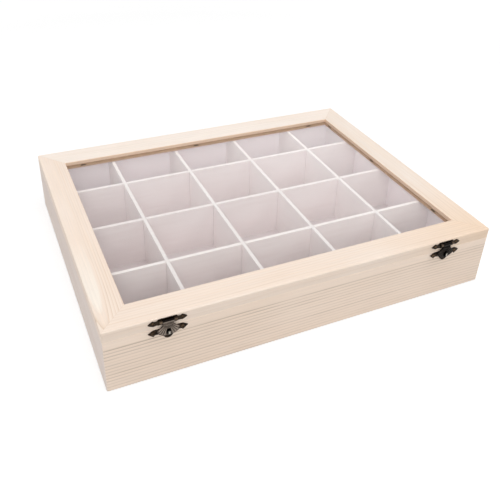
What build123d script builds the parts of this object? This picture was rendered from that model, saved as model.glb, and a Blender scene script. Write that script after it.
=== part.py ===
from build123d import *
from math import cos, radians, sin
import os

# Display box for mineral specimens: a mitred pine box with a crossed grid of white dividers,
# and a hinged pine lid that holds a glass pane and closes with two cast hasps.
# X runs left to right, Y front to back and Z up. The origin is the centre of the underside.

# ---------------------------------------------------------------- carcass
box_length = 350.0          # outside, left to right
box_depth = 281.0           # outside, front to back
box_height = 49.0           # table to seam
wall = 8.0                  # thickness of the four walls
corner_round = 1.5          # upright outer corners of box and lid
seam_arris = 0.3            # eased edges along the seam
foot_arris = 0.6            # eased edges along the underside
mitre_overrun = 0.2         # how far a mitre cut runs past both corners, as a share of its length

base_thickness = 3.0
base_rebate = 4.0           # width of the step in the walls that takes the base panel
base_clearance = 0.2

# ---------------------------------------------------------------- divider grid
columns = 5
rows = 4
column_pitch = 68.7
row_pitch = 67.8
divider_thickness = 3.3
divider_top_gap = 0.2       # below the seam
divider_end_gap = 0.25      # between a divider's end and the wall
divider_arris = 0.3
lap_clearance = 0.15        # each side of a half-lap slot
lap_gap = 0.2               # left between the two halves of a lap

# ---------------------------------------------------------------- lid
lid_thickness = 9.5
side_rail = 23.2
front_rail = 23.8
back_rail = 26.9
lid_edge_round = 1.2
lip_height = 3.6            # wood above the glass
lip_round = 0.5
glass_thickness = 2.0
glass_rebate = 6.0          # width of the step that takes the glass and its beads
glass_clearance = 0.5
bead_clearance = 0.15
bead_recess = 0.3           # bead above the lid's underside
bead_chamfer = 0.8

staple_crown = 5.0
staple_height = 1.0
staple_depth = 0.6
staple_leg = 8.5
staple_wire = 0.8
staple_drop = 0.8           # crown's middle below the glass
long_staples = (17.5, -11.0, 22.5)    # first inset, shift of the middle one, last inset
short_staples = (25.5, 15.5, 11.0)

# ---------------------------------------------------------------- screws
screw_head_radius = 1.5
screw_head_top = 0.9        # radius of the head's flat top
screw_head_height = 0.8
screw_radius = 0.75
screw_length = 6.0
screw_slot_width = 0.5
screw_slot_depth = 0.35
screw_hole_clearance = 0.1

# ---------------------------------------------------------------- butt hinges at the back
hinge_inset = 62.0          # hinge's middle from the box's end
hinge_width = 24.0
hinge_leaf_height = 7.2
hinge_leaf_thickness = 0.9
hinge_leaf_corner = 1.6
hinge_knuckles = 3
knuckle_gap = 0.2
barrel_radius = 1.6
barrel_gap = 0.3            # between barrel and wood
hinge_pin_radius = 0.8
pin_clearance = 0.05
pin_head_radius = 1.2
pin_head_length = 0.5
hinge_screw_spacing = 15.0
hinge_screw_height = 4.7    # screw's middle from the seam

# ---------------------------------------------------------------- hasps at the front
hasp_inset = 48.7           # hasp's middle from the box's end
hasp_sheet = 0.8            # thickness of the two screwed plates
hasp_gap = 0.3              # running gap between the flap's knuckle and the plate

# Outlines are given as half widths and heights above the seam.
plate_body = (7.0, 3.1, 8.4)          # half width, low edge and high edge
plate_neck = (8.5, 3.5, 7.1)
plate_ear = (11.1, 3.1, 7.8)
plate_tip = (15.0, 5.2)
plate_tip_bulge = (13.2, 1.0)         # half width midway to the tip, and how far that is inside the ear
plate_screw = (11.2, 5.5)

hasp_axis_height = 6.6      # flap's axis above the seam
hasp_barrel_radius = 1.15
hasp_barrel_half = 6.8
hasp_flap_half = 4.4        # half length of the flap's knuckle
hasp_pin_radius = 0.5

flap_thickness = 0.9
flap_back_gap = 0.5         # between the flap and the plates behind it
flap_neck = (4.3, 3.0)
flap_shoulder = (8.5, -1.1)
flap_side = (8.1, -3.3)
flap_heel = (7.2, -4.8)
flap_foot = (3.6, -6.7)
flap_tip = -7.9
flap_slot = (3.6, 5.7, -3.6)          # width, length and middle height
ridge_height = 0.45         # ribs and mouldings above the flap's face
ridge_draft = 28.0
moulding_half = 4.1
moulding_width = 0.7
moulding_heights = (5.0, 4.0, 3.0)
rib_centre = 5.0            # height of the point that the shell's ribs spread from
rib_angles = (7.0, 18.0, 29.0, 40.0, 51.0)
rib_ends = (5.6, 11.8, 11.5, 11.1, 9.8)     # the first stops at the slot
rib_start = 4.3
rib_spread = 0.15           # rib's width for each millimetre from that point

catch_top = (8.3, -0.9)
catch_ear = (10.9, -0.9)
catch_point = (15.3, -3.3)
catch_spade = (11.2, -6.7)
catch_spade_side = (10.3, -5.5)
catch_notch = (8.3, -5.4)
catch_waist = (5.0, -6.7)
catch_lobe = (2.7, -9.6)
catch_tip = -10.9
catch_screw = (11.3, -3.7)

hook_width = 2.4
hook_low = -5.5
hook_high = -3.2
hook_nib = -2.2
hook_nib_start = 3.0        # out from the wood
hook_reach = 4.1
hook_round = 1.3

# ---------------------------------------------------------------- worked-out values
seam = box_height
lid_top = seam + lid_thickness
half_length = box_length / 2
half_depth = box_depth / 2
inner_length = box_length - 2 * wall
inner_depth = box_depth - 2 * wall

window_left = -half_length + side_rail
window_right = half_length - side_rail
window_front = -half_depth + front_rail
window_back = half_depth - back_rail
glass_top = lid_top - lip_height
glass_low = glass_top - glass_thickness
bead_low = seam + bead_recess

divider_top = seam - divider_top_gap
divider_height = divider_top - base_thickness
divider_middle = base_thickness + divider_height / 2
cross_places = [(i - (columns - 2) / 2) * column_pitch for i in range(columns - 1)]
long_places = [(i - (rows - 2) / 2) * row_pitch for i in range(rows - 1)]

barrel_offset = barrel_gap + barrel_radius
hasp_axis_offset = hasp_sheet + hasp_gap + hasp_barrel_radius
flap_back = hasp_sheet + flap_back_gap
flap_front = flap_back + flap_thickness

SIDES = ("front", "right", "back", "left")

os.makedirs("parts", exist_ok=True)


def save(piece, name):
    """Label a finished piece and write it as its own STEP file."""
    piece.part.label = name
    export_step(piece.part, f"parts/{name}.step")


# ---------------------------------------------------------------- places
def hardware_place(x, y, outward):
    """Plane on the wood at the seam: X along the seam, Y up and Z out of the wood."""
    return Plane(origin=(x, y, seam), x_dir=(-outward, 0, 0), z_dir=(0, outward, 0))


def section(place, x):
    """Plane square to a hinge's axis: its X is up and its Y points out of the wood."""
    return Plane(origin=place.from_local_coords((x, 0, 0)), x_dir=place.y_dir, z_dir=place.x_dir)


def seats(place, spread, height, thickness):
    """Two screw seats on a plate's face, one each side of its middle."""
    points = [place.from_local_coords((side * spread, height, thickness)) for side in (-1, 1)]
    return [Plane(origin=point, x_dir=place.x_dir, z_dir=place.z_dir).location for point in points]


hasp_x = half_length - hasp_inset
hinge_x = half_length - hinge_inset
hasp_places = {
    "left": hardware_place(-hasp_x, -half_depth, -1),
    "right": hardware_place(hasp_x, -half_depth, -1),
}
hinge_places = {
    "left": hardware_place(-hinge_x, half_depth, 1),
    "right": hardware_place(hinge_x, half_depth, 1),
}

hasp_lid_seats = []
hasp_box_seats = []
for hasp_place in hasp_places.values():
    hasp_lid_seats += seats(hasp_place, *plate_screw, hasp_sheet)
    hasp_box_seats += seats(hasp_place, *catch_screw, hasp_sheet)

hinge_lid_seats = []
hinge_box_seats = []
for hinge_place in hinge_places.values():
    hinge_lid_seats += seats(hinge_place, hinge_screw_spacing / 2, hinge_screw_height, hinge_leaf_thickness)
    hinge_box_seats += seats(hinge_place, hinge_screw_spacing / 2, -hinge_screw_height, hinge_leaf_thickness)


def staple_places(side):
    """Where one side's staples stand, at the crown's height: X along the side and Y into the wood."""
    level = glass_low - staple_drop
    first, shift, last = long_staples if side in ("front", "back") else short_staples
    low, high = (window_left, window_right) if side in ("front", "back") else (window_front, window_back)
    steps = (low + first, (low + high) / 2 + shift, high - last)
    if side == "front":
        return [Plane(origin=(s, window_front, level), x_dir=(-1, 0, 0)).location for s in steps]
    if side == "back":
        return [Plane(origin=(s, window_back, level), x_dir=(1, 0, 0)).location for s in steps]
    if side == "left":
        return [Plane(origin=(window_left, s, level), x_dir=(0, 1, 0)).location for s in steps]
    return [Plane(origin=(window_right, s, level), x_dir=(0, -1, 0)).location for s in steps]


all_staples = [place for side in SIDES for place in staple_places(side)]


# ---------------------------------------------------------------- mitred frames
def corners(left, right, front, back):
    """Plan corners, counter-clockwise from the front left one."""
    return [Vector(left, front), Vector(right, front), Vector(right, back), Vector(left, back)]


def grown(plan, distance):
    """Plan corners moved outwards by a distance."""
    signs = ((-1, -1), (1, -1), (1, 1), (-1, 1))
    return [point + Vector(x, y) * distance for point, (x, y) in zip(plan, signs)]


def mitred_side(frame, outer, inner, index, low, high):
    """One side of a frame, between mitre cuts that run from outer to inner corner."""
    follow = (index + 1) % len(SIDES)
    start_run = (inner[index] - outer[index]) * mitre_overrun
    end_run = (inner[follow] - outer[follow]) * mitre_overrun
    plan = (
        outer[index] - start_run,
        outer[follow] - end_run,
        inner[follow] + end_run,
        inner[index] + start_run,
    )
    with BuildPart() as side:
        add(frame)
        with BuildSketch(Plane.XY.offset(low)):
            Polygon(*plan, align=None)
        extrude(amount=high - low, mode=Mode.INTERSECT)
    return side


outer_plan = corners(-half_length, half_length, -half_depth, half_depth)
cavity_plan = grown(outer_plan, -wall)
window_plan = corners(window_left, window_right, window_front, window_back)
rebate_plan = grown(window_plan, glass_rebate)

# ---------------------------------------------------------------- screws and staples
with BuildPart() as screw:
    with BuildSketch(Plane.XZ):
        with BuildLine():
            Polyline(
                (0, screw_head_height),
                (screw_head_top, screw_head_height),
                (screw_head_radius, 0),
                (screw_radius, 0),
                (screw_radius, -screw_length),
                (0, -screw_length),
                close=True,
            )
        make_face()
    revolve(axis=Axis.Z)
    with BuildSketch(Plane.XY.offset(screw_head_height)):
        Rectangle(2 * screw_head_radius, screw_slot_width)
    extrude(amount=-screw_slot_depth, mode=Mode.SUBTRACT)

with BuildPart() as staple:
    with BuildSketch(Plane.XY.offset(-staple_height / 2)):
        with Locations((0, -staple_depth / 2)):
            Rectangle(staple_crown, staple_depth)
        leg_middle = (staple_leg - staple_depth) / 2
        with Locations(
            ((staple_wire - staple_crown) / 2, leg_middle),
            ((staple_crown - staple_wire) / 2, leg_middle),
        ):
            Rectangle(staple_wire, staple_leg + staple_depth)
    extrude(amount=staple_height)

for group_name, group_seats in {
    "hasp_lid_screws": hasp_lid_seats,
    "hasp_box_screws": hasp_box_seats,
    "hinge_lid_screws": hinge_lid_seats,
    "hinge_box_screws": hinge_box_seats,
}.items():
    with BuildPart() as screw_group:
        with Locations(*group_seats):
            add(screw.part)
    save(screw_group, group_name)

with BuildPart() as bead_staples:
    with Locations(*all_staples):
        add(staple.part)
save(bead_staples, "bead_staples")

# ---------------------------------------------------------------- box
with BuildPart() as box_frame:
    with BuildSketch():
        RectangleRounded(box_length, box_depth, corner_round)
    extrude(amount=box_height)
    chamfer(box_frame.faces().sort_by(Axis.Z)[-1].edges(), seam_arris)
    chamfer(box_frame.faces().sort_by(Axis.Z)[0].edges(), foot_arris)
    with BuildSketch():
        Rectangle(inner_length, inner_depth)
    extrude(amount=box_height, mode=Mode.SUBTRACT)
    with BuildSketch():
        Rectangle(inner_length + 2 * base_rebate, inner_depth + 2 * base_rebate)
    extrude(amount=base_thickness, mode=Mode.SUBTRACT)
    with Locations(*hasp_box_seats, *hinge_box_seats):
        Hole(screw_radius + screw_hole_clearance, screw_length + screw_hole_clearance)

for side_index, side_name in enumerate(SIDES):
    save(mitred_side(box_frame.part, outer_plan, cavity_plan, side_index, 0, seam), f"{side_name}_wall")

with BuildPart() as base_panel:
    with BuildSketch():
        Rectangle(
            inner_length + 2 * (base_rebate - base_clearance),
            inner_depth + 2 * (base_rebate - base_clearance),
        )
    extrude(amount=base_thickness)
save(base_panel, "base_panel")


def divider(board, length, slots, slot_low, slot_high):
    """White board standing on the base, with a half-lap slot at each crossing."""
    with BuildPart() as piece:
        with BuildSketch(board):
            with Locations((0, divider_middle)):
                Rectangle(length - 2 * divider_end_gap, divider_height)
            with Locations(*[(slot, (slot_low + slot_high) / 2) for slot in slots]):
                Rectangle(divider_thickness + 2 * lap_clearance, slot_high - slot_low, mode=Mode.SUBTRACT)
        extrude(amount=divider_thickness / 2, both=True)
        run = Axis(board.origin, board.x_dir)
        chamfer(piece.edges().filter_by(run).group_by(Axis.Z)[-1], divider_arris)
    return piece


for place_index, cross_x in enumerate(cross_places):
    cross_board = Plane(origin=(cross_x, 0, 0), x_dir=(0, 1, 0), z_dir=(1, 0, 0))
    cross_divider = divider(cross_board, inner_depth, long_places, base_thickness, divider_middle)
    save(cross_divider, f"cross_divider_{place_index + 1}")

for place_index, long_y in enumerate(long_places):
    long_board = Plane(origin=(0, long_y, 0), x_dir=(1, 0, 0), z_dir=(0, -1, 0))
    long_divider = divider(long_board, inner_length, cross_places, divider_middle - lap_gap, divider_top)
    save(long_divider, f"long_divider_{place_index + 1}")

# ---------------------------------------------------------------- lid
with BuildPart() as lid_frame:
    with BuildSketch(Plane.XY.offset(seam)):
        RectangleRounded(box_length, box_depth, corner_round)
    extrude(amount=lid_thickness)
    fillet(lid_frame.faces().sort_by(Axis.Z)[-1].edges(), lid_edge_round)
    chamfer(lid_frame.faces().sort_by(Axis.Z)[0].edges(), seam_arris)
    with BuildSketch(Plane.XY.offset(seam)):
        Polygon(*window_plan, align=None)
    extrude(amount=lid_thickness, mode=Mode.SUBTRACT)
    with BuildSketch(Plane.XY.offset(seam)):
        Polygon(*rebate_plan, align=None)
    extrude(amount=glass_top - seam, mode=Mode.SUBTRACT)
    with Locations(*hasp_lid_seats, *hinge_lid_seats):
        Hole(screw_radius + screw_hole_clearance, screw_length + screw_hole_clearance)
    with Locations(*all_staples):
        add(staple.part, mode=Mode.SUBTRACT)

for side_index, side_name in enumerate(SIDES):
    with BuildPart() as rail:
        add(mitred_side(lid_frame.part, outer_plan, window_plan, side_index, seam, lid_top).part)
        lip_edge = rail.faces().sort_by(Axis.Z)[-1].edges().sort_by_distance((0, 0, lid_top))[0]
        fillet(lip_edge, lip_round)
    save(rail, f"{side_name}_rail")

with BuildPart() as glass_pane:
    with BuildSketch(Plane.XY.offset(glass_low)):
        Polygon(*grown(rebate_plan, -glass_clearance), align=None)
    extrude(amount=glass_thickness)
save(glass_pane, "glass_pane")

with BuildPart() as bead_frame:
    with BuildSketch(Plane.XY.offset(bead_low)):
        Polygon(*grown(rebate_plan, -bead_clearance), align=None)
        Polygon(*window_plan, align=None, mode=Mode.SUBTRACT)
    extrude(amount=glass_low - bead_low)
    chamfer(bead_frame.faces().sort_by(Axis.Z)[0].inner_wires()[0].edges(), bead_chamfer)
    with Locations(*all_staples):
        add(staple.part, mode=Mode.SUBTRACT)

for side_index, side_name in enumerate(SIDES):
    bead = mitred_side(bead_frame.part, rebate_plan, window_plan, side_index, bead_low, glass_low)
    save(bead, f"{side_name}_bead")


# ---------------------------------------------------------------- butt hinges
def hinge_leaf(place, up, own, other):
    """Leaf with its knuckles: up is 1 for the lid's leaf and -1 for the box's."""
    notch = barrel_offset
    with BuildPart() as leaf:
        with BuildSketch(place):
            with Locations((0, up * hinge_leaf_height / 2)):
                outline = Rectangle(hinge_width, hinge_leaf_height)
            fillet(outline.vertices().sort_by_distance((0, 0))[-2:], hinge_leaf_corner)
            with Locations(*[((start + end) / 2, up * notch / 2) for start, end in other]):
                Rectangle(knuckle_length + 2 * knuckle_gap, notch, mode=Mode.SUBTRACT)
        extrude(amount=hinge_leaf_thickness)
        for start, end in own:
            with BuildSketch(section(place, start)):
                with Locations((0, barrel_offset)):
                    Circle(barrel_radius)
            extrude(amount=end - start)
        with BuildSketch(section(place, -hinge_width / 2)):
            with Locations((0, barrel_offset)):
                Circle(hinge_pin_radius + pin_clearance)
        extrude(amount=hinge_width, mode=Mode.SUBTRACT)
        with Locations(*seats(place, hinge_screw_spacing / 2, up * hinge_screw_height, hinge_leaf_thickness)):
            Hole(screw_radius + screw_hole_clearance, hinge_leaf_thickness)
    return leaf


def turned_pin(place, centre, spans):
    """Pin along a barrel's axis: spans gives the start, end and radius of each of its lengths."""
    with BuildPart() as pin:
        for start, end, radius in spans:
            with BuildSketch(section(place, start)):
                with Locations(centre):
                    Circle(radius)
            extrude(amount=end - start)
    return pin


knuckle_pitch = hinge_width / hinge_knuckles
knuckle_length = knuckle_pitch - knuckle_gap
knuckle_starts = [knuckle_gap / 2 - hinge_width / 2 + i * knuckle_pitch for i in range(hinge_knuckles)]
knuckle_spans = [(start, start + knuckle_length) for start in knuckle_starts]

hinge_pin_spans = (
    (-hinge_width / 2 - pin_head_length, -hinge_width / 2, pin_head_radius),
    (-hinge_width / 2, hinge_width / 2, hinge_pin_radius),
    (hinge_width / 2, hinge_width / 2 + pin_head_length, pin_head_radius),
)

for hinge_side, hinge_place in hinge_places.items():
    save(hinge_leaf(hinge_place, -1, knuckle_spans[::2], knuckle_spans[1::2]), f"{hinge_side}_hinge_box_leaf")
    save(hinge_leaf(hinge_place, 1, knuckle_spans[1::2], knuckle_spans[::2]), f"{hinge_side}_hinge_lid_leaf")
    save(turned_pin(hinge_place, (0, barrel_offset), hinge_pin_spans), f"{hinge_side}_hinge_pin")


# ---------------------------------------------------------------- hasps
def hasp_plate(place):
    """Plate on the lid's front: two eared ends and the outer knuckles of the flap's hinge."""
    body_half, body_low, body_high = plate_body
    neck_x, neck_low, neck_high = plate_neck
    ear_x, ear_low, ear_high = plate_ear
    bulge_x, bulge_in = plate_tip_bulge
    with BuildPart() as plate:
        with BuildSketch(place):
            with BuildLine():
                Line((0, body_high), (body_half, body_high))
                Spline((body_half, body_high), (neck_x, neck_high), (ear_x, ear_high))
                ThreePointArc((ear_x, ear_high), (bulge_x, ear_high - bulge_in), plate_tip)
                ThreePointArc(plate_tip, (bulge_x, ear_low + bulge_in), (ear_x, ear_low))
                Spline((ear_x, ear_low), (neck_x, neck_low), (body_half, body_low))
                Line((body_half, body_low), (0, body_low))
                mirror(about=Plane.YZ)
            make_face()
        extrude(amount=hasp_sheet)
        for start in (-hasp_barrel_half, hasp_flap_half + knuckle_gap):
            with BuildSketch(section(place, start)):
                with Locations((hasp_axis_height, hasp_axis_offset)):
                    Circle(hasp_barrel_radius)
                with Locations((hasp_axis_height, hasp_axis_offset / 2)):
                    Rectangle(2 * hasp_barrel_radius, hasp_axis_offset)
            extrude(amount=hasp_barrel_half - hasp_flap_half - knuckle_gap)
        with BuildSketch(section(place, -hasp_barrel_half)):
            with Locations((hasp_axis_height, hasp_axis_offset)):
                Circle(hasp_pin_radius + pin_clearance)
        extrude(amount=2 * hasp_barrel_half, mode=Mode.SUBTRACT)
        with Locations(*seats(place, *plate_screw, hasp_sheet)):
            Hole(screw_radius + screw_hole_clearance, hasp_sheet)
    return plate


with BuildSketch() as flap_face:
    # A narrow neck that spreads to a shell with a blunt point: X across, Y up from the seam.
    with BuildLine():
        Line((0, hasp_axis_height), (flap_neck[0], hasp_axis_height))
        Line((flap_neck[0], hasp_axis_height), flap_neck)
        Spline(flap_neck, flap_shoulder, tangents=((0.5, -1), (1, -0.8)))
        ThreePointArc(flap_shoulder, flap_side, flap_heel)
        ThreePointArc(flap_heel, flap_foot, (0, flap_tip))
        mirror(about=Plane.YZ)
    make_face()

with BuildSketch() as flap_ridges:
    # Mouldings across the neck, and ribs that spread from it to just inside the outline.
    with Locations(*[(0, height) for height in moulding_heights]):
        Rectangle(2 * moulding_half, moulding_width)
    for rib_angle, rib_end in zip(rib_angles, rib_ends):
        for rib_side in (-1, 1):
            along = Vector(rib_side * sin(radians(rib_angle)), -cos(radians(rib_angle)))
            across = Vector(along.Y, -along.X) * rib_spread / 2
            with Locations((0, rib_centre)):
                Polygon(
                    (along + across) * rib_start,
                    (along + across) * rib_end,
                    (along - across) * rib_end,
                    (along - across) * rib_start,
                    align=None,
                )


def hasp_flap(place):
    """Fluted shell flap that hangs on the plate's pin and drops over the catch's hook."""
    slot_width, slot_length, slot_middle = flap_slot
    with BuildPart() as flap:
        with BuildSketch(place.offset(flap_back)):
            add(flap_face.sketch)
        extrude(amount=flap_thickness)
        with BuildSketch(place.offset(flap_front)):
            add(flap_ridges.sketch)
        extrude(amount=ridge_height, taper=ridge_draft)
        with BuildSketch(section(place, -hasp_flap_half)):
            with Locations((hasp_axis_height, hasp_axis_offset)):
                Circle(hasp_barrel_radius)
        extrude(amount=2 * hasp_flap_half)
        with BuildSketch(section(place, -hasp_flap_half)):
            with Locations((hasp_axis_height, hasp_axis_offset)):
                Circle(hasp_pin_radius + pin_clearance)
        extrude(amount=2 * hasp_flap_half, mode=Mode.SUBTRACT)
        with BuildSketch(place):
            with Locations((0, slot_middle)):
                SlotOverall(slot_length, slot_width, rotation=90)
        extrude(amount=flap_front + ridge_height, mode=Mode.SUBTRACT)
    return flap


def catch_plate(place):
    """Plate on the box's front, with two pointed ears and a lobe, pierced for the hook's foot."""
    with BuildPart() as plate:
        with BuildSketch(place):
            with BuildLine():
                Line((0, catch_top[1]), catch_top)
                Spline(catch_top, catch_ear, catch_point, tangents=((1, 0.1), (1, -0.7)))
                Line(catch_point, catch_spade)
                ThreePointArc(catch_spade, catch_spade_side, catch_notch)
                lobe_points = (catch_notch, catch_waist, catch_lobe, (0, catch_tip))
                Spline(*lobe_points, tangents=((-1, -0.1), (-1, -0.2)))
                mirror(about=Plane.YZ)
            make_face()
            with Locations((0, (hook_low + hook_high) / 2)):
                Rectangle(hook_width, hook_high - hook_low, mode=Mode.SUBTRACT)
        extrude(amount=hasp_sheet)
        with Locations(*seats(place, *catch_screw, hasp_sheet)):
            Hole(screw_radius + screw_hole_clearance, hasp_sheet)
    return plate


def catch_hook(place):
    """Hook that stands through the flap's slot: a stout tongue with an upturned nib."""
    with BuildPart() as hook:
        with BuildSketch(section(place, -hook_width / 2)):
            with BuildLine():
                Polyline(
                    (hook_low + hook_round, hook_reach),
                    (hook_nib, hook_reach),
                    (hook_nib, hook_nib_start),
                    (hook_high, hook_nib_start),
                    (hook_high, 0),
                    (hook_low, 0),
                    (hook_low, hook_reach - hook_round),
                )
                round_end = (hook_low + hook_round, hook_reach)
                RadiusArc((hook_low, hook_reach - hook_round), round_end, hook_round)
            make_face()
        extrude(amount=hook_width)
    return hook


for hasp_side, hasp_place in hasp_places.items():
    hasp_axis = (hasp_axis_height, hasp_axis_offset)
    save(hasp_plate(hasp_place), f"{hasp_side}_hasp_plate")
    save(hasp_flap(hasp_place), f"{hasp_side}_hasp_flap")
    pin_span = (-hasp_barrel_half, hasp_barrel_half, hasp_pin_radius)
    save(turned_pin(hasp_place, hasp_axis, [pin_span]), f"{hasp_side}_hasp_pin")
    save(catch_plate(hasp_place), f"{hasp_side}_catch_plate")
    save(catch_hook(hasp_place), f"{hasp_side}_catch_hook")
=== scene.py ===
from math import radians

import bpy
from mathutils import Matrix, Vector

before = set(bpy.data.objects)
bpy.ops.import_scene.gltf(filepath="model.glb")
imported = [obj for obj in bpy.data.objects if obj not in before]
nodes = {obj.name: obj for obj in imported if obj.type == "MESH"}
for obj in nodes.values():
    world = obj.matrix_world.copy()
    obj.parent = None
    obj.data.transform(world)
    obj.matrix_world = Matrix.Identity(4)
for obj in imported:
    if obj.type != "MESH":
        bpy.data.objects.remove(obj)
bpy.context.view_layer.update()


# ---------------------------------------------------------------- material nodes
def srgb(red, green, blue):
    """A colour given as 0 to 255 sRGB values, as the linear colour a shader takes."""
    linear = (((v / 255 + 0.055) / 1.055) ** 2.4 if v > 10 else v / 3295 for v in (red, green, blue))
    return (*linear, 1.0)


class Graph:
    """A node tree: small calls that add nodes, and give the socket that the next call takes."""

    def __init__(self, tree):
        self.tree = tree
        self.tree.nodes.clear()

    def node(self, kind, *values, **settings):
        node = self.tree.nodes.new(kind)
        for key, value in settings.items():
            setattr(node, key, value)
        sockets = [s for s in node.inputs if s.enabled]
        for socket, value in zip(sockets, values):
            if isinstance(value, bpy.types.NodeSocket):
                self.tree.links.new(value, socket)
            elif value is not None:
                socket.default_value = value
        return node

    def math(self, operation, a, b=0.0):
        return self.node("ShaderNodeMath", a, b, operation=operation).outputs[0]

    def add(self, a, b):
        return self.math("ADD", a, b)

    def mul(self, a, b):
        return self.math("MULTIPLY", a, b)

    def vector(self, x, y, z):
        return self.node("ShaderNodeCombineXYZ", x, y, z).outputs[0]

    def noise(self, vector, scale=1.0, detail=2.0, roughness=0.5):
        return self.node("ShaderNodeTexNoise", vector, scale, detail, roughness).outputs[0]

    def spread(self, value, low, high, to_low=0.0, to_high=1.0):
        """Maps low and high to to_low and to_high, straight between them and level outside."""
        return self.node("ShaderNodeMapRange", value, low, high, to_low, to_high).outputs[0]

    def ramp(self, value, *stops):
        node = self.node("ShaderNodeValToRGB", value)
        elements = node.color_ramp.elements
        while len(elements) < len(stops):
            elements.new(0.5)
        for element, (position, level) in zip(elements, stops):
            element.position = position
            element.color = (level, level, level, 1.0)
        return node.outputs[0]

    def mix(self, share, a, b, blend="MIX"):
        return self.node("ShaderNodeMix", share, a, b, data_type="RGBA", blend_type=blend).outputs[2]

    def bump(self, height, distance, strength):
        return self.node("ShaderNodeBump", strength, distance, None, height).outputs[0]


class Finish(Graph):
    """One procedural material, in the frame's coordinates at rest."""

    def __init__(self, name):
        self.material = bpy.data.materials.new(name)
        self.material.use_nodes = True
        super().__init__(self.material.node_tree)
        self.place = self.node("ShaderNodeTexCoord").outputs["Object"]
        self.x, self.y, self.z = self.node("ShaderNodeSeparateXYZ", self.place).outputs

    def mm(self, length):
        return self.mul(length, 1000)

    def stretched(self, sx, sy, sz):
        return self.node("ShaderNodeVectorMath", self.place, (sx, sy, sz), operation="MULTIPLY").outputs[0]

    def principled(self, colour, roughness, normal=None, **numbers):
        node = self.node("ShaderNodeBsdfPrincipled")
        for name, value in (("Base Color", colour), ("Roughness", roughness), ("Normal", normal)):
            if isinstance(value, bpy.types.NodeSocket):
                self.tree.links.new(value, node.inputs[name])
            elif value is not None:
                node.inputs[name].default_value = value
        for name, value in numbers.items():
            node.inputs[name.replace("_", " ")].default_value = value
        return node.outputs[0]

    def done(self, shader):
        self.node("ShaderNodeOutputMaterial", shader)
        return self.material


def dress(material, *names):
    for name in names:
        mesh = nodes[name].data
        mesh.materials.clear()
        mesh.materials.append(material)


# ---------------------------------------------------------------- pine
# each board's early wood, the duller patches in it, and its late wood
PINE = (srgb(249, 233, 219), srgb(245, 226, 209), srgb(214, 184, 154))
BACK_PINE = (srgb(252, 241, 231), srgb(249, 235, 222), srgb(220, 196, 170))
RIGHT_PINE = (srgb(248, 236, 225), srgb(242, 226, 210), srgb(214, 184, 152))
FRONT_PINE = (srgb(253, 234, 217), srgb(249, 229, 211), srgb(205, 184, 165))
# the left wall's tint is cooler: partly its own board's colour, partly painted bluish light from the left
SIDE_PINE_AND_BLUE_LIGHT = (srgb(243, 230, 222), srgb(238, 223, 214), srgb(208, 180, 158))

# colours that only parts of some boards have
WARM_END = srgb(243, 217, 191)
HEART_WOOD = srgb(251, 242, 230)
DASH_BROWN = srgb(196, 158, 120)
# painted light: warm light bouncing between the window's wooden faces, as an orange tint
LIP_PAINTED_BOUNCE = srgb(255, 226, 200)
MITRE_BROWN = srgb(196, 160, 128)
PAINT_WHITE = srgb(254, 241, 245)
PAINT_ROUGHNESS = (0.5, 0.5, 0.5, 1.0)

# how dark late wood is through one year: (place in the ring, strength)
LATE = ((0.0, 0.0), (0.42, 0.05), (0.74, 0.45), (0.88, 1.0), (0.97, 0.15), (1.0, 0.0))

# the window in the lid and the rails round it, in mm
WINDOW_X, WINDOW_FRONT, WINDOW_BACK = 151.8, -116.7, 113.6
SIDE_RAIL, FRONT_RAIL, BACK_RAIL = 23.2, 23.8, 26.9
LIP_REACH = 0.25               # how far outside the window the painted warm bounce light ends

# the painted inside of the box, in m
INSIDE_X, INSIDE_Y, PAINT_TOP = 0.16705, 0.13255, 0.0468
BOX_HEIGHT = 0.0585


def mitre_line(f, mm_x, mm_y):
    """A thin line where two rails meet, from the lid's corners to the window's."""
    over_x = f.add(f.math("ABSOLUTE", mm_x), -WINDOW_X)
    over_front, over_back = f.add(f.mul(mm_y, -1.0), WINDOW_FRONT), f.add(mm_y, -WINDOW_BACK)
    front = f.math("ABSOLUTE", f.add(f.mul(over_x, FRONT_RAIL / SIDE_RAIL), f.mul(over_front, -1.0)))
    back = f.math("ABSOLUTE", f.add(f.mul(over_x, BACK_RAIL / SIDE_RAIL), f.mul(over_back, -1.0)))
    return f.spread(f.math("MINIMUM", front, back), 0.15, 0.45, 0.15, 0.0)


def lid_edges(f, colour):
    """Painted warm bounce light, more orange than the pine, on the faces round the window, and a line at
    each mitre.
    """
    mm_x, mm_y = f.mm(f.x), f.mm(f.y)
    # painted warm bounce light on the window's inner faces
    painted_bounce = f.mul(
        f.math("LESS_THAN", f.math("ABSOLUTE", mm_x), WINDOW_X + LIP_REACH),
        f.mul(
            f.math("LESS_THAN", mm_y, WINDOW_BACK + LIP_REACH),
            f.math("GREATER_THAN", mm_y, WINDOW_FRONT - LIP_REACH),
        ),
    )
    colour = f.mix(painted_bounce, colour, LIP_PAINTED_BOUNCE)
    return f.mix(mitre_line(f, mm_x, mm_y), colour, MITRE_BROWN)


def painted_side(f):
    """1 on a wall's inside, up to a bare strip just under the seam, and 0 elsewhere."""
    inside = f.mul(
        f.math("LESS_THAN", f.math("ABSOLUTE", f.x), INSIDE_X),
        f.math("LESS_THAN", f.math("ABSOLUTE", f.y), INSIDE_Y),
    )
    return f.mul(inside, f.math("LESS_THAN", f.z, PAINT_TOP))


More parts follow.
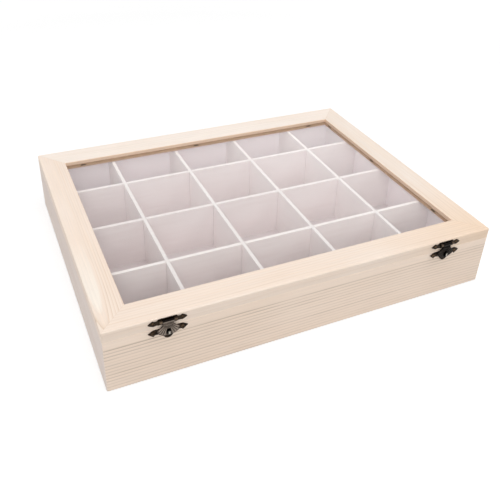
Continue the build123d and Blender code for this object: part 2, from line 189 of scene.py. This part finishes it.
def pine(name, along, pith, spacing, wander=1.0, lean=0.0, contrast=1.0, wave=3.0, seed=0.0,
         painted=False, rail=False, heart=None, swell=None, bands=None, fade=None, warm=None,
         tint=PINE):
    """Clear pine. Growth rings lie round a line along the board, at pith (across, up) in mm.

    Lengths are in mm, and places run along the board.
    spacing: width of a ring, wander: how unlike the widths are, wave: how far rings stray
    lean: how much the rings rise along the board, swell: (middle, reach, height) of a hump in them
    heart: (radius, from, to) of pale wood without rings, palest up to the first place
    bands: strength of the late wood by height in the box, fade: (from, to, share left of it)
    warm: (from, to) where the board turns yellower
    """
    f = Finish(name)
    run, across = (f.x, f.y) if along == "x" else (f.y, f.x)
    mm_run, mm_across, mm_up = f.mm(run), f.mm(across), f.mm(f.z)

    def grain(run_scale, cross_scale):
        up = f.add(f.mul(mm_up, cross_scale), seed)
        return f.vector(f.mul(mm_run, run_scale), f.mul(mm_across, cross_scale), up)

    # growth rings, numbered outwards from the pith: their whole part is the year
    drift = f.math("SUBTRACT", f.noise(grain(0.006, 0.03), 1.0, 2.0, 0.45), 0.5)
    side = f.add(f.add(mm_across, -pith[0]), f.mul(drift, 6 * wave))
    rise = f.add(f.add(mm_up, -pith[1]), f.add(f.mul(mm_run, lean), f.mul(drift, wave)))
    if swell:
        middle, reach, height = swell
        aside = f.math("ABSOLUTE", f.add(mm_run, -middle))
        rise = f.add(rise, f.spread(aside, 0.0, reach, height, 0.0))
    radius = f.math("SQRT", f.add(f.mul(side, side), f.mul(rise, rise)))
    years = f.noise(f.vector(f.mul(radius, 0.11), seed, 0.0), 1.0, 1.0, 0.5)
    rings = f.add(f.mul(radius, 1 / spacing), f.mul(years, 2.2 * wander))
    ring = f.math("FLOOR", rings)

    # late wood: the dark lines, weaker in some years and in some places
    late = f.ramp(f.math("FRACT", rings), *LATE)
    if bands:
        late = f.mul(late, f.ramp(f.mul(f.z, 1 / BOX_HEIGHT), *bands))
    else:
        strength = f.noise(f.vector(ring, seed, 3.0), 7.3, 0.0)
        late = f.mul(late, f.spread(strength, 0.3, 0.7, 0.35, 1.0))
    thinned = f.noise(f.vector(f.mul(mm_run, 0.02), f.mul(ring, 5.3), seed), 1.0, 1.0)
    late = f.mul(late, f.spread(thinned, 0.3, 0.65, 0.5, 1.1))
    if heart:
        late = f.mul(late, f.spread(radius, heart[0] - 0.6, heart[0], 0.0, 1.0))
    if fade:
        late = f.mul(late, f.spread(mm_run, fade[0], fade[1], 1.0, fade[2]))

    # early wood: pale, in duller and clearer patches
    fibre = f.noise(grain(0.035, 2.3), 1.0, 3.0, 0.6)
    streaks = f.noise(grain(0.016, 0.75), 1.0, 3.0, 0.65)
    patch = f.noise(grain(0.012, 0.06), 1.0, 2.0)
    dull = f.spread(f.add(f.mul(patch, 0.5), f.mul(streaks, 0.5)), 0.38, 0.62)
    early = f.mix(dull, tint[0], tint[1])
    if warm:
        early = f.mix(f.spread(mm_run, warm[0], warm[1], 0.0, 0.85), early, WARM_END)
    if heart:
        core = f.spread(radius, heart[0] - 1.5, heart[0], 1.0, 0.0)
        early = f.mix(f.mul(core, f.spread(mm_run, heart[1], heart[2], 0.8, 0.0)), early, HEART_WOOD)

    # both together, with fine streaks and a few short brown dashes along the grain
    tone = f.mix(f.mul(late, contrast), early, tint[2])
    streak = f.spread(f.add(f.mul(fibre, 0.4), f.mul(streaks, 0.6)), 0.36, 0.64, 0.945, 1.04)
    grey = f.node("ShaderNodeCombineColor", streak, streak, streak).outputs[0]
    colour = f.mix(1.0, tone, grey, "MULTIPLY")
    dashes = f.noise(grain(0.16, 5.0), 1.0, 1.0)
    colour = f.mix(f.spread(dashes, 0.70, 0.78, 0.0, 0.22), colour, DASH_BROWN)
    rough = f.spread(fibre, 0.3, 0.7, 0.56, 0.68)
    normal = f.bump(f.add(f.mul(fibre, 0.6), f.mul(late, 0.5)), 0.00009, 0.6)
    if rail:
        colour = lid_edges(f, colour)
    if painted:
        inside = painted_side(f)
        colour = f.mix(inside, colour, PAINT_WHITE)
        rough = f.mix(inside, rough, PAINT_ROUGHNESS)
    return f.done(f.principled(colour, rough, normal, Specular_IOR_Level=0.35))


BOARDS = {
    # the box's walls: nearly quartered boards, with straight lines on their faces
    "front_wall": dict(
        along="x", pith=(-141.0, 128.2), spacing=3.05, wander=0.1, wave=0.35, painted=True,
        swell=(175.0, 75.0, 1.8), fade=(-60.0, 40.0, 0.72), tint=FRONT_PINE,
        bands=((0.0, 0.8), (0.26, 0.75), (0.285, 1.4), (0.31, 0.75), (0.42, 0.8), (0.56, 1.0),
               (0.62, 1.1), (0.65, 1.2), (0.69, 1.6), (0.715, 1.6), (0.735, 0.0)),
    ),
    "back_wall": dict(
        along="x", pith=(160.0, 110.0), spacing=3.4, contrast=0.5, wave=0.8, seed=4.0, painted=True,
    ),
    "left_wall": dict(
        along="y", pith=(-150.0, 120.0), spacing=3.6, contrast=0.5, wave=1.0, seed=9.0, painted=True,
        # cooler tint, partly painted bluish light from the left
        tint=SIDE_PINE_AND_BLUE_LIGHT,
    ),
    "right_wall": dict(
        along="y", pith=(190.0, -60.0), spacing=3.3, contrast=0.5, wave=1.0, seed=13.0, painted=True,
    ),
    # the lid's rails: finer lines, with one wide figure near the left rail's front end
    "front_rail": dict(
        along="x", pith=(-220.0, 20.0), spacing=2.5, lean=0.012, contrast=0.4, wave=0.9, seed=2.0,
        rail=True, warm=(60.0, 165.0),
    ),
    "back_rail": dict(
        along="x", pith=(200.0, 10.0), spacing=3.0, contrast=0.3, wave=1.1, seed=17.0, rail=True,
        tint=BACK_PINE,
    ),
    "left_rail": dict(
        along="y", pith=(-169.5, 58.5), spacing=2.1, wander=0.3, contrast=0.8, wave=0.5, seed=6.0,
        rail=True, heart=(5.6, -95.0, -25.0), swell=(-142.0, 62.0, 7.75), fade=(-95.0, -25.0, 0.5),
    ),
    "right_rail": dict(
        along="y", pith=(225.0, 10.0), spacing=2.7, contrast=0.34, wave=1.2, seed=21.0, rail=True,
        warm=(-40.0, -130.0), tint=RIGHT_PINE,
    ),
}
for board, look in BOARDS.items():
    dress(pine("pine_" + board, **look), board)

# ---------------------------------------------------------------- brown beads under the glass
f = Finish("bead_wood")
lines = f.noise(f.stretched(60, 60, 900), 1.0, 3.0, 0.6)
tone = f.mix(f.spread(lines, 0.3, 0.7), srgb(220, 180, 150), srgb(200, 158, 128))
bead_wood = f.done(f.principled(tone, 0.55, f.bump(lines, 0.00006, 0.5), Specular_IOR_Level=0.4))
dress(bead_wood, "front_bead", "back_bead", "left_bead", "right_bead")


# ---------------------------------------------------------------- white dividers and base
GRAIN_STEP = (7, 10, 11)       # how much darker the grain is than the paint, in sRGB values
BARE_BELOW = 0.0029            # the base is bare wood under its top, in m


def white_board(name, tint, run_scale, bare_under=False):
    """White paint over wood, whose grain shows through faintly. run_scale is the grain's, per m."""
    f = Finish(name)
    broad = f.noise(f.place, 22.0, 3.0, 0.5)
    fine = f.noise(f.place, 900.0, 2.0, 0.6)
    grain = f.noise(f.stretched(*run_scale), 1.0, 3.0, 0.6)
    shade = f.add(f.mul(f.spread(broad, 0.3, 0.7), 0.4), f.mul(f.spread(grain, 0.35, 0.7), 0.6))
    tone = f.mix(shade, srgb(*tint), srgb(*(v - step for v, step in zip(tint, GRAIN_STEP))))
    if bare_under:
        specks = f.noise(f.stretched(700, 700, 700), 1.0, 4.0, 0.7)
        bare = f.mix(f.spread(specks, 0.35, 0.65), srgb(205, 180, 146), srgb(176, 148, 112))
        tone = f.mix(f.math("LESS_THAN", f.z, BARE_BELOW), tone, bare)
    rough = f.spread(fine, 0.3, 0.7, 0.42, 0.52)
    return f.done(f.principled(tone, rough, f.bump(fine, 0.00004, 0.5), Specular_IOR_Level=0.4))


RUNS_ALONG_X, RUNS_ALONG_Y = (14, 300, 300), (300, 14, 300)
cross_white = white_board("cross_white", (244, 233, 233), RUNS_ALONG_Y)
dress(cross_white, *(n for n in nodes if "cross_divider" in n))
long_white = white_board("long_white", (244, 231, 231), RUNS_ALONG_X)
dress(long_white, *(n for n in nodes if "long_divider" in n))
# painted light: the front divider is a lighter white than the others, to make up for the shade the front
# rail casts on it
dress(white_board("front_white_painted_lit", (253, 241, 240), RUNS_ALONG_X), "long_divider_1")
# painted shade: the base's white top is darker than the dividers, as the shade at the bottom of the cells
dress(white_board("base_board", (218, 204, 205), (14, 200, 200), True), "base_panel")

# ---------------------------------------------------------------- glass
f = Finish("glass")
ray = f.node("ShaderNodeLightPath").outputs
passes = f.math("MAXIMUM", ray["Is Shadow Ray"], ray["Is Diffuse Ray"])
pane = f.principled(srgb(250, 253, 252), 0.0, None, Transmission_Weight=1.0, IOR=1.5)
clear = f.node("ShaderNodeBsdfTransparent", srgb(250, 252, 251)).outputs[0]
dress(f.done(f.node("ShaderNodeMixShader", passes, pane, clear).outputs[0]), "glass_pane")


# ---------------------------------------------------------------- metals
def metal(name, base, worn_and_lit, wear, roughness, wear_and_highlight_mask=None, deepest=0.6):
    """Old plated metal: dark patina, lighter in patches of wear, and lighter where a given mask says so,
    which holds real wear and painted highlights.
    """
    f = Finish(name)
    patch = f.noise(f.place, 300.0, 4.0, 0.65)
    fine = f.noise(f.place, 2600.0, 2.0, 0.6)
    rubbed_and_lit = f.spread(patch, 0.45, 0.75, 0.0, wear)
    # the mask paints highlights as well as wear
    if wear_and_highlight_mask:
        rubbed_and_lit = f.mul(wear_and_highlight_mask(f), f.spread(patch, 0.3, 0.7, deepest, 1.0))
    tone = f.mix(rubbed_and_lit, srgb(*base), srgb(*worn_and_lit))
    rough = f.spread(patch, 0.3, 0.7, roughness - 0.08, roughness + 0.1)
    normal = f.bump(fine, 0.00003, 0.5)
    return f.done(f.principled(tone, rough, normal, Metallic=1.0, Specular_IOR_Level=0.5))


FRONT_FACE, SEAM = -0.1405, 0.049  # the front's y and the seam's z, in m
HASP_X = 126.3                 # from the middle of the box to the middle of a hasp, in mm
RIGHT_FLAP_LEVEL = 0.08         # the right flap's bright places are painted far darker than the left one's

# where the rubbed places, the painted highlights and the painted shadow at the flap's tip begin and end,
# in mm: out from the front, up from the seam
RIBS_OUT, FLAP_TOP_UP, FLAP_TIP_UP = (2.25, 2.6), (5.2, 5.5), (-7.2, -6.2)
BARREL_OUT, BARREL_LOW_UP, BARREL_HIGH_UP = (2.6, 3.0), (5.9, 6.2), (6.8, 7.1)
KNUCKLE_OUT, KNUCKLE_UP = (2.4, 2.9), (5.7, 6.1)
HOOK_OUT, HOOK_UP, HOOK_ASIDE = (2.8, 3.4), (-5.4, -4.6), (0.4, 0.9)


def height_over(f):
    """How far a point stands out from the front, and above the seam, in mm."""
    return f.mul(f.add(f.y, -FRONT_FACE), -1000.0), f.mul(f.add(f.z, -SEAM), 1000.0)


def flap_wear_and_painted_light(f):
    """Rubbed bright on the ribs and the mouldings, with a painted highlight along the front of the barrel,
    and kept dark at the tip as a painted shadow of the hook.
    """
    out, up = height_over(f)
    face = f.mul(f.spread(out, *RIBS_OUT, 0.34, 1.0), f.spread(up, *FLAP_TOP_UP, 1.0, 0.0))
    # painted highlight along the front of the barrel
    band = f.mul(f.spread(up, *BARREL_LOW_UP), f.spread(up, *BARREL_HIGH_UP, 1.0, 0.0))
    barrel = f.mul(f.mul(band, 0.8), f.spread(out, *BARREL_OUT))
    # painted shadow of the hook: the tip is kept dark
    level = f.mul(f.add(face, barrel), f.spread(up, *FLAP_TIP_UP))
    right = f.math("GREATER_THAN", f.x, 0.0)
    return f.mul(level, f.spread(right, 0.0, 1.0, 1.0, RIGHT_FLAP_LEVEL))


def plate_wear_and_highlight(f):
    """A painted highlight on the front of the outer knuckles, and a little wear on the flat."""
    out, up = height_over(f)
    # painted highlight on the fronts of the knuckles
    knuckles = f.mul(f.spread(out, *KNUCKLE_OUT), f.spread(up, *KNUCKLE_UP))
    return f.add(f.mul(knuckles, 0.4), 0.12)


def hook_painted_highlight(f):
    """A painted highlight down the middle of the hook's face."""
    out, up = height_over(f)
    aside = f.math("ABSOLUTE", f.add(f.mm(f.math("ABSOLUTE", f.x)), -HASP_X))
    # painted highlight: a small bright spot on the hook's face
    face = f.mul(f.spread(out, *HOOK_OUT), f.spread(up, *HOOK_UP))
    return f.mul(face, f.spread(aside, *HOOK_ASIDE, 1.0, 0.0))


dark = metal("dark_bronze", (28, 21, 16), (98, 76, 57), 0.55, 0.42)
dress(dark, *(n for n in nodes if any(word in n for word in ("hinge_", "hasp_pin", "catch_plate"))))
hasp_metal = metal("hasp_bronze", (28, 21, 16), (132, 114, 96), 0.55, 0.42, plate_wear_and_highlight)
dress(hasp_metal, "left_hasp_plate", "right_hasp_plate")
screw_metal = metal("screw_bronze", (50, 40, 31), (122, 101, 78), 0.9, 0.36)
dress(screw_metal, *(n for n in nodes if "screws" in n))
flap_metal = metal("shell_bronze", (25, 21, 19), (154, 141, 130), 0.7, 0.36, flap_wear_and_painted_light)
dress(flap_metal, "left_hasp_flap", "right_hasp_flap")
# the hook is dark but for its painted highlight
hook_metal = metal("bright_hook", (27, 23, 20), (182, 176, 166), 0.5, 0.3, hook_painted_highlight, 0.8)
dress(hook_metal, "left_catch_hook", "right_catch_hook")
dress(metal("staple_steel", (14, 12, 10), (58, 50, 42), 0.4, 0.45), "bead_staples")

# ---------------------------------------------------------------- floor, light and camera
WHITE = (1.0, 1.0, 1.0, 1.0)
MIRRORED_WHITE = (1.0, 0.94, 0.945, 1.0)
FAR_WALL = (0.45, 0.70, -0.55)  # the way to the brightest part of the mirrored studio
SKY_STRENGTH = 0.40
FLOOR_SIZE, FLOOR_DROP = 12.0, 0.0002


def seen_directly(graph, ray):
    """1 for rays that show a thing, straight, mirrored or through glass, and 0 for rays that light one."""
    shown = graph.math("MAXIMUM", ray["Is Camera Ray"], ray["Is Glossy Ray"])
    return graph.math("MAXIMUM", shown, ray["Is Transmission Ray"])


# the floor looks white from near and far, by a glow that grows with the distance from the box
# in m, and it lights the box as plain grey
f = Finish("studio_floor")
matt = f.node("ShaderNodeBsdfDiffuse", (0.6, 0.6, 0.6, 1.0)).outputs[0]
away = f.math("SQRT", f.add(f.mul(f.x, f.x), f.mul(f.y, f.y)))
shown = seen_directly(f, f.node("ShaderNodeLightPath").outputs)
lift = f.mul(shown, f.spread(away, 0.8, 2.2, 0.5, 0.85))
glow = f.node("ShaderNodeEmission", WHITE, lift).outputs[0]
floor_white = f.done(f.node("ShaderNodeAddShader", matt, glow).outputs[0])
bpy.ops.mesh.primitive_plane_add(size=FLOOR_SIZE, location=(0, 0, -FLOOR_DROP))
floor = bpy.context.object
floor.name = "floor"
floor.data.materials.append(floor_white)

world = bpy.data.worlds.new("studio")
bpy.context.scene.world = world
world.use_nodes = True
studio = Graph(world.node_tree)
ray = studio.node("ShaderNodeLightPath").outputs
direction = studio.node("ShaderNodeTexCoord").outputs["Generated"]
toward = studio.node("ShaderNodeVectorMath", direction, FAR_WALL, operation="DOT_PRODUCT")
# the nearer a mirrored ray's direction is to the far wall, the brighter is what it meets
mirrored = studio.spread(toward.outputs["Value"], 0.2, 0.52, 1.15, 2.12)
strength = studio.node("ShaderNodeMix", ray["Is Glossy Ray"], 1.0, mirrored).outputs[0]
colour = studio.mix(ray["Is Glossy Ray"], WHITE, MIRRORED_WHITE)
backdrop = studio.node("ShaderNodeBackground", colour, strength).outputs[0]
sky = studio.node("ShaderNodeBackground", WHITE, SKY_STRENGTH).outputs[0]
around = studio.node("ShaderNodeMixShader", seen_directly(studio, ray), sky, backdrop).outputs[0]
studio.node("ShaderNodeOutputWorld", around)

AIM = Vector((0, 0, 0.03))
LAMPS = {
    # place in m, width of the disc in m, power in W
    "front_key": ((-0.75, -2.1, 1.55), 1.6, 20.0),
    "left_soft": ((-1.6, 0.2, 1.2), 1.4, 5.6),
    "top_soft": ((0.0, -0.2, 2.8), 1.6, 19.5),
    "right_high": ((1.7, -0.73, 1.82), 0.6, 12.5),
}
for name, (place, width, power) in LAMPS.items():
    disc = bpy.data.lights.new(name, "AREA")
    disc.shape = "DISK"
    disc.size = width
    disc.energy = power
    lamp = bpy.data.objects.new(name, disc)
    lamp.location = place
    lamp.rotation_euler = (AIM - Vector(place)).to_track_quat("-Z", "Y").to_euler()
    if name != "front_key":
        # the pane mirrors the studio's walls, not these discs: its top face does so with glossy
        # rays, its bottom face with rays that leave through the top face as transmitted ones
        lamp.visible_glossy = lamp.visible_transmission = False
    bpy.context.scene.collection.objects.link(lamp)

# the camera is fitted to the photograph: the box's corners, the window and the dividers
lens = bpy.data.cameras.new("camera")
lens.sensor_width = 36.0
lens.lens = 46.194
lens.shift_x = -0.0033
lens.shift_y = -0.1193
lens.clip_start = 0.01
camera = bpy.data.objects.new("camera", lens)
camera.location = (-0.22465, -0.47967, 0.37827)
camera.rotation_euler = (radians(58.775), radians(-1.910), radians(-24.365))
bpy.context.scene.collection.objects.link(camera)
bpy.context.scene.camera = camera
bpy.context.scene.view_settings.view_transform = "Standard"
